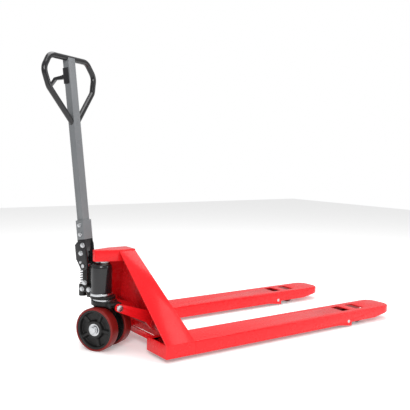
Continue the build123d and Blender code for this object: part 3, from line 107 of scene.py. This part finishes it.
# ---------- finishes
# Each finish is one coating or metal, except the shaded red, which is a darker copy of the red enamel as
# painted shade; every edge colour is a painted highlight on rounded edges. Colours are sRGB, sizes are in
# millimetres.
finishes = {
    # gloss enamel on steel: even red, a faint orange-peel ripple in its reflections
    "redEnamel": {"colour": "#E0181F", "mottle": "#D4141B", "mottleMm": 160, "roughness": (0.22, 0.32),
                  "patchMm": 60,
                  "grainMm": 3.0, "grainHeightMm": 0.05, "metallic": 0.0, "coat": 0.12,
                  "coatRoughness": 0.1,
                 "specular": 0.22, "edgeHighlightColour": "#F0605A", "highlightStrength": 0.5, "edgeMm": 1.6},
    # the same red enamel, darkened as painted shade for parts deep in the shade of the frame; a little dustier
    "shadedRedEnamel": {"colour": "#A3131A", "mottle": "#8A0F15", "mottleMm": 90, "roughness": (0.38, 0.5),
                  "patchMm": 40,
                  "grainMm": 3.0, "grainHeightMm": 0.06, "metallic": 0.0, "coat": 0.05,
                  "coatRoughness": 0.3,
                 "specular": 0.18, "edgeHighlightColour": "#C24A44", "highlightStrength": 0.5, "edgeMm": 1.6},
    # baked black enamel: deep, glossy, with soft highlights
    "blackEnamel": {"colour": "#101012", "mottle": "#17171A", "mottleMm": 70, "roughness": (0.16, 0.26),
                    "patchMm": 35,
                    "grainMm": 2.5, "grainHeightMm": 0.05, "metallic": 0.0, "coat": 0.35,
                    "coatRoughness": 0.08,
                   "specular": 0.3, "edgeHighlightColour": "#3A3A3C", "highlightStrength": 0.6, "edgeMm": 1.6},
    # painted sand casting: black with a pebbled skin that breaks up the light
    "castIron": {"colour": "#121213", "mottle": "#1B1A19", "mottleMm": 25, "roughness": (0.36, 0.52),
                 "patchMm": 18,
                 "grainMm": 2.2, "grainHeightMm": 0.22, "metallic": 0.0, "coat": 0.08, "coatRoughness": 0.3,
                "specular": 0.25, "edgeHighlightColour": "#3C3A37", "highlightStrength": 0.7, "edgeMm": 1.6},
    # satin grey enamel on the rolled stem tube: warm grey, cooler where it mirrors the room
    "greyEnamel": {"colour": "#6E7072", "mottle": "#64676A", "mottleMm": 140, "roughness": (0.26, 0.36),
                   "patchMm": 50,
                   "grainMm": 3.0, "grainHeightMm": 0.04, "metallic": 0.0, "coat": 0.25,
                   "coatRoughness": 0.16,
                  "specular": 0.35, "edgeHighlightColour": "#9A9C9E", "highlightStrength": 0.5, "edgeMm": 1.6},
    # cast polyurethane tread: dark red, slightly soft and waxy
    "polyurethane": {"colour": "#7E1B18", "mottle": "#6C1613", "mottleMm": 45, "roughness": (0.34, 0.48),
                     "patchMm": 20,
                     "grainMm": 1.6, "grainHeightMm": 0.06, "metallic": 0.0, "coat": 0.08,
                     "coatRoughness": 0.3,
                    "specular": 0.22, "edgeHighlightColour": "#A04038", "highlightStrength": 0.5, "edgeMm": 1.6},
    # zinc-plated steel: pale bright metal with a fine grain
    "zincSteel": {"colour": "#C8CACD", "mottle": "#B4B6B8", "mottleMm": 12, "roughness": (0.2, 0.34),
                  "patchMm": 8,
                  "grainMm": 0.9, "grainHeightMm": 0.02, "metallic": 1.0, "coat": 0.0, "coatRoughness": 0.1,
                 "specular": 0.5, "edgeHighlightColour": "#E4E6E8", "highlightStrength": 0.6, "edgeMm": 1.6},
    # oiled spring and tool steel: dark, greasy shine
    "oiledSteel": {"colour": "#5A5855", "mottle": "#454340", "mottleMm": 15, "roughness": (0.25, 0.4),
                   "patchMm": 10,
                   "grainMm": 1.0, "grainHeightMm": 0.03, "metallic": 1.0, "coat": 0.0,
                   "coatRoughness": 0.1,
                  "specular": 0.5, "edgeHighlightColour": "#8A8884", "highlightStrength": 0.7, "edgeMm": 1.6},
    # hard chrome on ground rod: mirror-like
    "hardChrome": {"colour": "#DADCDF", "mottle": "#D2D4D7", "mottleMm": 30, "roughness": (0.06, 0.12),
                   "patchMm": 12,
                   "grainMm": 0.8, "grainHeightMm": 0.01, "metallic": 1.0, "coat": 0.0,
                   "coatRoughness": 0.1,
                  "specular": 0.5, "edgeHighlightColour": "#F0F1F2", "highlightStrength": 0.3, "edgeMm": 1.6},
}


def makeFinish(name, look):
    material = bpy.data.materials.new(name)
    material.use_nodes = True
    tree = material.node_tree
    shader = tree.nodes["Principled BSDF"]
    place = addNode(tree, "ShaderNodeTexCoord").outputs["Object"]
    cloud = addNode(tree, "ShaderNodeTexNoise", None,
                    {"Vector": place, "Scale": 1000 / look["mottleMm"], "Detail": 3.0, "Roughness": 0.55})
    colour = addNode(tree, "ShaderNodeMix", {"data_type": "RGBA"}, {"Factor": cloud.outputs["Fac"]})
    colour.inputs[6].default_value = hexColour(look["colour"])
    colour.inputs[7].default_value = hexColour(look["mottle"])
    patches = addNode(tree, "ShaderNodeTexNoise", None,
                      {"Vector": place, "Scale": 1000 / look["patchMm"], "Detail": 4.0, "Roughness": 0.6})
    low, high = look["roughness"]
    roughness = addNode(tree, "ShaderNodeMapRange", None,
                        {"Value": patches.outputs["Fac"], "From Min": 0.3, "From Max": 0.7, "To Min": low,
                         "To Max": high})
    grain = addNode(tree, "ShaderNodeTexNoise", None,
                    {"Vector": place, "Scale": 1000 / look["grainMm"], "Detail": 2.0, "Roughness": 0.5})
    bump = addNode(tree, "ShaderNodeBump", None,
                   {"Height": grain.outputs["Fac"], "Strength": 0.6,
                    "Distance": look["grainHeightMm"] * mm})
    # painted edge highlight: a paler colour where the rounded normal leaves the flat one, broken up by the
    # patches
    rounded = addNode(tree, "ShaderNodeBevel", {"samples": 4}, {"Radius": look["edgeMm"] * mm})
    flat = addNode(tree, "ShaderNodeNewGeometry")
    agree = addNode(tree, "ShaderNodeVectorMath", {"operation": "DOT_PRODUCT"})
    tree.links.new(rounded.outputs["Normal"], agree.inputs[0])
    tree.links.new(flat.outputs["Normal"], agree.inputs[1])
    edge = addNode(tree, "ShaderNodeMapRange", None,
                   {"Value": agree.outputs["Value"], "From Min": 0.995, "From Max": 0.86, "To Min": 0.0,
                    "To Max": look["highlightStrength"]})
    highlightMask = addNode(tree, "ShaderNodeMath", {"operation": "MULTIPLY"})
    tree.links.new(edge.outputs["Result"], highlightMask.inputs[0])
    tree.links.new(patches.outputs["Fac"], highlightMask.inputs[1])
    highlightMix = addNode(tree, "ShaderNodeMix", {"data_type": "RGBA"}, {"Factor": highlightMask.outputs["Value"]})
    tree.links.new(colour.outputs[2], highlightMix.inputs[6])
    highlightMix.inputs[7].default_value = hexColour(look["edgeHighlightColour"])
    tree.links.new(highlightMix.outputs[2], shader.inputs["Base Color"])
    tree.links.new(roughness.outputs["Result"], shader.inputs["Roughness"])
    tree.links.new(bump.outputs["Normal"], shader.inputs["Normal"])
    shader.inputs["Metallic"].default_value = look["metallic"]
    shader.inputs["Specular IOR Level"].default_value = look["specular"]
    shader.inputs["Coat Weight"].default_value = look["coat"]
    shader.inputs["Coat Roughness"].default_value = look["coatRoughness"]
    return material


materials = {name: makeFinish(name, look) for name, look in finishes.items()}
print("finishes made:", len(materials))

# every CAD node starts with a finish of its own
nodeFinish = {
    "redEnamel": ["fork_blade", "heel", "side_plate", "front_panel", "head", "ram_socket",
                  "lower_cross_member",
                  "rocker_arms", "rocker_brackets"],
    # painted shade: the rocker shaft and cranks take the darkened copy of the red enamel
    "shadedRedEnamel": ["rocker_shaft", "rocker_cranks"],
    "blackEnamel": ["oil_reservoir", "handle_base", "handle_loop", "control_lever", "lever_bracket",
                    "push_rod"],
    "castIron": ["pump_base", "wheel_hub", "carrier", "roller_yoke"],
    "greyEnamel": ["handle_stem", "stem_sleeve"],
    "polyurethane": ["wheel_tyre", "roller_tyre"],
    "hardChrome": ["lift_ram", "pump_plunger"],
    "oiledSteel": ["plunger_spring", "valve_lever", "rocker_bushes", "roller_core", "cam_roller",
                   "lift_cylinder"],
}
finishOfNode = {}
for finish, names in nodeFinish.items():
    for name in names:
        finishOfNode[name] = finish
for name, node in frame["nodes"].items():
    plain = name.split("_", 1)[1] if name.startswith(("left_", "right_")) and name != "left_over" else name
    finish = finishOfNode.get(plain, "zincSteel")
    node.data.materials.clear()
    node.data.materials.append(materials[finish])


# ---------- sheet metal and castings with their real, softened edges
def newPiece(name, mesh, body, finish, replaced=()):
    piece = bpy.data.objects.new(name, mesh)
    bpy.context.scene.collection.objects.link(piece)
    mesh.materials.clear()
    mesh.materials.append(materials[finish])
    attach(piece, body)
    if replaced:
        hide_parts(*replaced)
    return piece


def softened(nodeName, edgeMm, finish, segments=3, creaseDegrees=32):
    source = frame["nodes"][nodeName]
    mesh = source.data.copy()
    work = bmesh.new()
    work.from_mesh(mesh)
    bmesh.ops.remove_doubles(work, verts=work.verts, dist=0.01 * mm)
    bmesh.ops.dissolve_limit(work, angle_limit=math.radians(0.6), verts=work.verts, edges=work.edges)
    work.to_mesh(mesh)
    work.free()
    mesh.name = nodeName + "_skin"
    mesh.shade_smooth()
    piece = newPiece(nodeName + "_skin", mesh, source["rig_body"], finish, [nodeName])
    bevel = piece.modifiers.new("edge", "BEVEL")
    bevel.width = edgeMm * mm
    bevel.segments = segments
    bevel.limit_method = "ANGLE"
    bevel.angle_limit = math.radians(creaseDegrees)
    bevel.miter_outer = "MITER_ARC"
    bevel.use_clamp_overlap = True
    bevel.harden_normals = True
    return piece


softEdges = {
    "fork_blade": (1.6, "redEnamel"), "heel": (1.6, "redEnamel"), "side_plate": (1.4, "redEnamel"),
    "front_panel": (1.4, "redEnamel"), "head": (1.8, "redEnamel"), "lower_cross_member": (1.5, "redEnamel"),
    "rocker_arms": (1.8, "redEnamel"), "rocker_brackets": (1.0, "redEnamel"), "rocker_cranks": (1.2,
                                                                                                "shadedRedEnamel"),
    "roller_yoke": (1.2, "castIron"), "push_rod": (1.2, "blackEnamel"), "carrier": (2.0, "castIron"),
    "pump_base": (2.2, "castIron"), "handle_base": (2.0, "blackEnamel"), "stem_sleeve": (1.5, "greyEnamel"),
    "handle_stem": (1.8, "greyEnamel"), "lever_bracket": (0.8, "blackEnamel"), "control_lever": (2.4,
                                                                                                 "blackEnamel"),
    "oil_reservoir": (2.5, "blackEnamel"), "gland_nut": (1.0, "zincSteel"), "pump_fasteners": (0.9,
                                                                                               "zincSteel"),
    "handle_bolts": (0.9, "zincSteel"), "link_pins": (1.0, "zincSteel"), "steer_axle": (1.0, "zincSteel"),
    "cam_roller": (1.2, "oiledSteel"), "reservoir_ring": (1.5, "zincSteel"),
}
for plain, (edgeMm, finish) in softEdges.items():
    for name in (plain, "left_" + plain, "right_" + plain):
        if name in frame["nodes"]:
            softened(name, edgeMm, finish)
print("softened pieces made")


# ---------- meshes made from rings of points
def joinRings(work, here, there):
    for k in range(len(here)):
        following = (k + 1) % len(here)
        work.faces.new((here[k], here[following], there[following], there[k]))


def finishMesh(name, work):
    bmesh.ops.recalc_face_normals(work, faces=work.faces)
    mesh = bpy.data.meshes.new(name)
    work.to_mesh(mesh)
    work.free()
    mesh.shade_smooth()
    return mesh


# ---------- wheels and rollers: turned about their own axles
# a closed cross-section, as (radius, offset) pairs in mm, carried round an axis
def ringMesh(name, middle, direction, sectionAt, count):
    out = direction.orthogonal().normalized()
    side = direction.cross(out)
    work = bmesh.new()
    rings = []
    for step in range(count):
        angle = 2 * math.pi * step / count
        arm = out * math.cos(angle) + side * math.sin(angle)
        rings.append([work.verts.new(middle + arm * r * mm + direction * y * mm) for r,
                      y in sectionAt(angle)])
    for step, ring in enumerate(rings):
        joinRings(work, ring, rings[(step + 1) % count])
    return finishMesh(name, work)


def blendStep(value, low, high):
    t = min(max((value - low) / (high - low), 0.0), 1.0)
    return t * t * (3 - 2 * t)


tread = {"halfWidth": 25.0, "shoulder": 5.0, "shoulderSteps": 6, "count": 176}
moulding = {"bore": 26.0, "rim": 8.0, "boss": 36.0, "spokes": 5, "spokeWidth": 12.0, "webHalf": 5.0,
            "spokeHalf": 15.0,
            "faceHalf": 23.0, "fillet": 5.0, "radialSteps": 34, "count": 260}


def tyreSection(outer, inner, half):
    r = tread["shoulder"]
    section = [(inner, -half), (inner, half)]
    for step in range(tread["shoulderSteps"] + 1):
        turn = math.pi / 2 * step / tread["shoulderSteps"]
        section.append((outer - r + r * math.sin(turn), half - r + r * math.cos(turn)))
    section.append((outer, 0.0))
    for step in range(tread["shoulderSteps"] + 1):
        turn = math.pi / 2 * step / tread["shoulderSteps"]
        section.append((outer - r + r * math.cos(turn), -half + r - r * math.sin(turn)))
    return section


def hubHeight(radius, angle, outer):
    pitch = 2 * math.pi / moulding["spokes"]
    off = (angle + pitch / 2) % pitch - pitch / 2
    aside = abs(radius * math.sin(off))
    halfWidth = moulding["spokeWidth"] / 2
    spoke = 1 - blendStep(aside, halfWidth - 1, halfWidth + moulding["fillet"])
    low = moulding["webHalf"] + (moulding["spokeHalf"] - moulding["webHalf"]) * spoke
    rimStart = outer - moulding["rim"]
    full = max(blendStep(radius, rimStart - moulding["fillet"], rimStart),
               1 - blendStep(radius, moulding["boss"], moulding["boss"] + moulding["fillet"]))
    return low + (moulding["faceHalf"] - low) * full


def hubSection(angle, outer):
    steps = moulding["radialSteps"]
    radii = [moulding["bore"] + (outer - moulding["bore"]) * i / steps for i in range(steps + 1)]
    face = [(r, hubHeight(r, angle, outer)) for r in radii]
    return face + [(r, -y) for r, y in reversed(face)]


for side in ("left", "right"):
    direction = Vector(joints[side + "_wheel_spin"]["axis"]).normalized()
    for part, finish in (("wheel_tyre", "polyurethane"), ("wheel_hub", "castIron")):
        node = side + "_" + part
        low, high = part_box(node)
        outer = (high.z - low.z) / 2 / mm
        middle = boxMiddle(node)
        if part == "wheel_tyre":
            hubLow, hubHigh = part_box(side + "_wheel_hub")
            section = tyreSection(outer, (hubHigh.z - hubLow.z) / 2 / mm, tread["halfWidth"])
            mesh = ringMesh(node + "_skin", middle, direction, lambda angle: section, tread["count"])
        else:
            mesh = ringMesh(node + "_skin", middle, direction, lambda angle: hubSection(angle, outer),
                            moulding["count"])
        newPiece(node + "_skin", mesh, frame["nodes"][node]["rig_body"], finish, [node])
    roller = side + "_roller_tyre"
    low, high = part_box(roller)
    coreLow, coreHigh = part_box(side + "_roller_core")
    rollerSection = tyreSection((high.z - low.z) / 2 / mm, (coreHigh.z - coreLow.z) / 2 / mm,
                                (high.y - low.y) / 2 / mm)
    mesh = ringMesh(roller + "_skin", boxMiddle(roller), Vector((0, 1, 0)), lambda angle: rollerSection,
                    tread["count"])
    newPiece(roller + "_skin", mesh, frame["nodes"][roller]["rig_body"], "polyurethane", [roller])
print("wheels and rollers turned")


# ---------- the plunger's return spring, a true coil
coil = {"turns": 7.0, "wireMm": 3.5, "diameterMm": 28.0, "stepsPerTurn": 40, "wireSides": 12}
springLow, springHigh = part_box("plunger_spring")
springMiddle = (springLow + springHigh) / 2
springLength = springHigh.z - springLow.z
work = bmesh.new()
wire = coil["wireMm"] * mm / 2
reach = coil["diameterMm"] * mm / 2 - wire
total = int(coil["turns"] * coil["stepsPerTurn"])
loops = []
for step in range(total + 1):
    angle = 2 * math.pi * step / coil["stepsPerTurn"]
    arm = Vector((math.cos(angle), math.sin(angle), 0))
    centre = Vector((springMiddle.x, springMiddle.y, springLow.z + wire)) + arm * reach
    centre.z += (springLength - 2 * wire) * step / total
    loops.append([work.verts.new(centre + (arm * math.cos(a) + Vector((0, 0, 1)) * math.sin(a)) * wire)
                  for a in [2 * math.pi * k / coil["wireSides"] for k in range(coil["wireSides"])]])
for here, there in zip(loops, loops[1:]):
    joinRings(work, here, there)
work.faces.new(loops[0])
work.faces.new(loops[-1])
mesh = finishMesh("spring_coil", work)
spring = newPiece("spring_coil", mesh, frame["nodes"]["plunger_spring"]["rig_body"], "oiledSteel",
                  ["plunger_spring"])
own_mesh(spring)
print("spring coiled")


# ---------- repeats: washers and weld beads, one instance shape on many points
# instances of a shape on the points of a mesh, each turned by the point's "turn" attribute
def scatterTree():
    tree = bpy.data.node_groups.new("scatter", "GeometryNodeTree")
    for label, kind, way in (("Geometry", "NodeSocketGeometry", "INPUT"), ("Shape", "NodeSocketObject",
                                                                           "INPUT"),
                             ("Size", "NodeSocketFloat", "INPUT"), ("Finish", "NodeSocketMaterial",
                                                                    "INPUT"),
                             ("Geometry", "NodeSocketGeometry", "OUTPUT")):
        tree.interface.new_socket(label, in_out=way, socket_type=kind)
    entry = addNode(tree, "NodeGroupInput")
    shape = addNode(tree, "GeometryNodeObjectInfo", None, {"Object": entry.outputs["Shape"],
                                                           "As Instance": True})
    turn = addNode(tree, "GeometryNodeInputNamedAttribute", {"data_type": "FLOAT_VECTOR"}, {"Name": "turn"})
    spread = addNode(tree, "GeometryNodeInstanceOnPoints", None,
                     {"Points": entry.outputs["Geometry"], "Instance": shape.outputs["Geometry"],
                      "Rotation": turn.outputs["Attribute"], "Scale": entry.outputs["Size"]})
    real = addNode(tree, "GeometryNodeRealizeInstances", None, {"Geometry": spread.outputs["Instances"]})
    done = addNode(tree, "GeometryNodeSetMaterial", None,
                   {"Geometry": real.outputs["Geometry"], "Material": entry.outputs["Finish"]})
    leave = addNode(tree, "NodeGroupOutput")
    tree.links.new(done.outputs["Geometry"], leave.inputs["Geometry"])
    return tree


scatter = scatterTree()


# spots are (place, direction) pairs: the shape's own Z is turned to the direction
def scattered(name, spots, shapeMesh, body, finish, size=1.0):
    source = bpy.data.objects.new(name + "_shape", shapeMesh)
    bpy.context.scene.collection.objects.link(source)
    points = bpy.data.meshes.new(name + "_points")
    points.from_pydata([tuple(place) for place, direction in spots], [], [])
    turns = points.attributes.new("turn", "FLOAT_VECTOR", "POINT")
    for i, (place, direction) in enumerate(spots):
        turns.data[i].vector = tuple(direction.to_track_quat("Z", "X").to_euler())
    holder = bpy.data.objects.new(name + "_points", points)
    bpy.context.scene.collection.objects.link(holder)
    spread = holder.modifiers.new("scatter", "NODES")
    spread.node_group = scatter
    values = {"Shape": source, "Size": size, "Finish": materials[finish]}
    for item in scatter.interface.items_tree:
        if item.in_out == "INPUT" and item.name in values:
            spread[item.identifier] = values[item.name]
    bpy.context.view_layer.update()
    evaluated = holder.evaluated_get(bpy.context.evaluated_depsgraph_get())
    mesh = bpy.data.meshes.new_from_object(evaluated)
    mesh.name = name
    bpy.data.objects.remove(holder)
    bpy.data.objects.remove(source)
    newPiece(name, mesh, body, finish)


# a lathe shape about its own Z from (radius, height) pairs in mm
def turnedShape(name, profile, count=40):
    work = bmesh.new()
    rings = [[work.verts.new((r * mm * math.cos(2 * math.pi * k / count),
                              r * mm * math.sin(2 * math.pi * k / count),
                              z * mm)) for k in range(count)] for r, z in profile]
    for here, there in zip(rings, rings[1:]):
        joinRings(work, here, there)
    work.faces.new(rings[0])
    work.faces.new(rings[-1])
    return finishMesh(name, work)


washer = {"radiusMm": 11.0, "thicknessMm": 1.6, "edgeMm": 0.4}
bead = {"radiusMm": 3.0, "heightMm": 1.9, "pitchMm": 3.6, "steps": 6, "tipRadiusMm": 0.25, "sides": 14}
washerShape = turnedShape("washer", [(washer["radiusMm"], 0.0),
                                     (washer["radiusMm"], washer["thicknessMm"] - washer["edgeMm"]),
                                     (washer["radiusMm"] - washer["edgeMm"], washer["thicknessMm"])])
beadAngles = [math.pi / 2 * k / bead["steps"] for k in range(bead["steps"])]
beadProfile = [(bead["radiusMm"] * math.cos(a), bead["heightMm"] * math.sin(a)) for a in beadAngles]
beadShape = turnedShape("bead", beadProfile + [(bead["tipRadiusMm"], bead["heightMm"])], bead["sides"])


longestHeadMm = 7.0


# the middle of each loose hex head in a node, at its seat, with the way it faces
def headSpots(nodeName):
    work = bmesh.new()
    work.from_mesh(frame["nodes"][nodeName].data)
    bmesh.ops.remove_doubles(work, verts=work.verts, dist=0.01 * mm)
    seen = set()
    spots = []
    for start in work.verts:
        if start in seen:
            continue
        island, queue = [], [start]
        seen.add(start)
        while queue:
            vert = queue.pop()
            island.append(vert)
            for edge in vert.link_edges:
                other = edge.other_vert(vert)
                if other not in seen:
                    seen.add(other)
                    queue.append(other)
        centre = sum((v.co for v in island), Vector()) / len(island)
        along = [(v.co - centre).dot(axleDirection) for v in island]
        if max(along) - min(along) > longestHeadMm * mm:
            continue
        outward = 1 if (centre - tiltPin).dot(axleDirection) > 0 else -1
        seat = centre + axleDirection * (min(along) if outward > 0 else max(along))
        spots.append((seat, axleDirection * outward))
    work.free()
    return spots


for nodeName in ("pump_fasteners", "handle_bolts"):
    spots = headSpots(nodeName)
    if spots:
        scattered(nodeName + "_washers", spots, washerShape, frame["nodes"][nodeName]["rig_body"],
                  "zincSteel")


def alongLine(start, end, direction):
    count = max(2, round((end - start).length / (bead["pitchMm"] * mm)))
    return [(start.lerp(end, i / count), direction) for i in range(count + 1)]


def alongCircle(middle, axis, radius, direction):
    out = axis.orthogonal().normalized()
    side = axis.cross(out)
    count = round(2 * math.pi * radius / (bead["pitchMm"] * mm))
    return [(middle + (out * math.cos(a) + side * math.sin(a)) * radius, direction)
            for a in [2 * math.pi * k / count for k in range(count)]]


across = Vector((0, 1, 0))
shaftRadius = (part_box("rocker_shaft")[1].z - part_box("rocker_shaft")[0].z) / 2
armFaces = ((94.0, -1), (104.0, 1))
armSpots = []
for armSide in (-1, 1):
    for offsetMm, outward in armFaces:
        place = Vector((shaft.x, armSide * offsetMm * mm, shaft.z))
        facing = across * armSide * outward
        armSpots += alongCircle(place, across, shaftRadius, facing)
scattered("rocker_welds", armSpots, beadShape, frame["nodes"]["rocker_arms"]["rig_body"], "redEnamel")
socketLow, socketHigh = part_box("ram_socket")
socketMiddle = (socketLow + socketHigh) / 2
socketSpots = alongCircle(Vector((socketMiddle.x, socketMiddle.y, socketHigh.z)), Vector((0, 0, 1)),
                          (socketHigh.x - socketLow.x) / 2, Vector((0, 0, -1)))
scattered("socket_welds", socketSpots, beadShape, frame["nodes"]["ram_socket"]["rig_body"], "redEnamel")
back = axleDirection.cross(stemDirection).normalized()
sleeve = {"topMm": 198.0, "halfDepthMm": 15.0, "halfWidthMm": 23.0, "beadSize": 0.7}
corners = [tiltPin + stemDirection * sleeve["topMm"] * mm + back * a * sleeve["halfDepthMm"] * mm
           + axleDirection * b * sleeve["halfWidthMm"] * mm for a, b in ((-1, -1), (1, -1), (1, 1), (-1,
                                                                                                     1))]
sleeveSpots = []
for here, there in zip(corners, corners[1:] + corners[:1]):
    sleeveSpots += alongLine(here, there, stemDirection)
scattered("sleeve_welds", sleeveSpots, beadShape, frame["nodes"]["stem_sleeve"]["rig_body"], "greyEnamel",
          sleeve["beadSize"])
print("washers and welds placed")


# ---------- floor, light and camera
studio = {"floorSize": 14.0, "floorColour": "#F4F4F4", "worldStrength": 0.6, "paperGlow": 0.25,
          "keyWatts": 120,
          "fillWatts": 40, "topWatts": 85}


def makeStage():
    mesh = bpy.data.meshes.new("floor")
    half = studio["floorSize"] / 2
    mesh.from_pydata([(-half, -half, 0), (half, -half, 0), (half, half, 0), (-half, half, 0)], [], [(0, 1,
                                                                                                     2, 3)])
    floor = bpy.data.objects.new("floor", mesh)
    bpy.context.scene.collection.objects.link(floor)
    paper = bpy.data.materials.new("matPaper")          # seamless white paper: flat and bright
    paper.use_nodes = True
    shader = paper.node_tree.nodes["Principled BSDF"]
    shader.inputs["Base Color"].default_value = hexColour(studio["floorColour"])
    shader.inputs["Roughness"].default_value = 0.9
    shader.inputs["Specular IOR Level"].default_value = 0.1
    shader.inputs["Emission Color"].default_value = (1, 1, 1, 1)
    shader.inputs["Emission Strength"].default_value = studio["paperGlow"]
    mesh.materials.append(paper)
    world = bpy.data.worlds.new("studio")
    bpy.context.scene.world = world
    world.use_nodes = True
    background = world.node_tree.nodes["Background"]
    background.inputs["Color"].default_value = (1, 1, 1, 1)
    background.inputs["Strength"].default_value = studio["worldStrength"]
    # the room seen past the object stays white, while the light that it gives is softer
    tree = world.node_tree
    white = addNode(tree, "ShaderNodeBackground", None, {"Color": (1, 1, 1, 1), "Strength": 1.0})
    path = addNode(tree, "ShaderNodeLightPath")
    pick = addNode(tree, "ShaderNodeMixShader", None, {"Fac": path.outputs["Is Camera Ray"]})
    tree.links.new(background.outputs["Background"], pick.inputs[1])
    tree.links.new(white.outputs["Background"], pick.inputs[2])
    tree.links.new(pick.outputs["Shader"], tree.nodes["World Output"].inputs["Surface"])


def addAreaLight(name, watts, size, place, target):
    lamp = bpy.data.lights.new(name, "AREA")
    lamp.energy = watts
    lamp.shape = "DISK"
    lamp.size = size
    light = bpy.data.objects.new(name, lamp)
    light.location = place
    light.rotation_euler = (Vector(target) - Vector(place)).to_track_quat("-Z", "Y").to_euler()
    bpy.context.scene.collection.objects.link(light)


def makeCamera():
    view = {"back": 1.17274, "side": 2.42215, "height": 0.83555, "heading": 55.0007, "pitch": -4.4835,
            "roll": 1.065, "lensMm": 54.74, "sensorMm": 36.0}
    heading = math.radians(view["heading"])
    pitch = math.radians(view["pitch"])
    roll = math.radians(view["roll"])
    ahead = Vector((math.cos(heading) * math.cos(pitch), math.sin(heading) * math.cos(pitch),
                    math.sin(pitch)))
    level = Vector((math.sin(heading), -math.cos(heading), 0))
    upright = level.cross(ahead)
    right = level * math.cos(roll) + upright * math.sin(roll)
    up = upright * math.cos(roll) - level * math.sin(roll)
    turn = Matrix((right, up, -ahead)).transposed().to_4x4()
    lens = bpy.data.cameras.new("camera")
    lens.lens = view["lensMm"]
    lens.sensor_width = view["sensorMm"]
    camera = bpy.data.objects.new("camera", lens)
    place = Vector((kingpin.x - view["back"], kingpin.y - view["side"], view["height"]))
    camera.matrix_world = Matrix.Translation(place) @ turn
    bpy.context.scene.collection.objects.link(camera)
    bpy.context.scene.camera = camera


makeStage()
addAreaLight("key", studio["keyWatts"], 2.2, (-2.6, -3.4, 3.2), (0, 0, 0.4))
addAreaLight("fill", studio["fillWatts"], 2.5, (3.0, -2.6, 2.0), (0, 0, 0.3))
addAreaLight("top", studio["topWatts"], 3.0, (0.2, 0.3, 3.6), (0, 0, 0))
makeCamera()
bpy.context.scene.view_settings.view_transform = "Standard"
print("stage, lights and camera made")
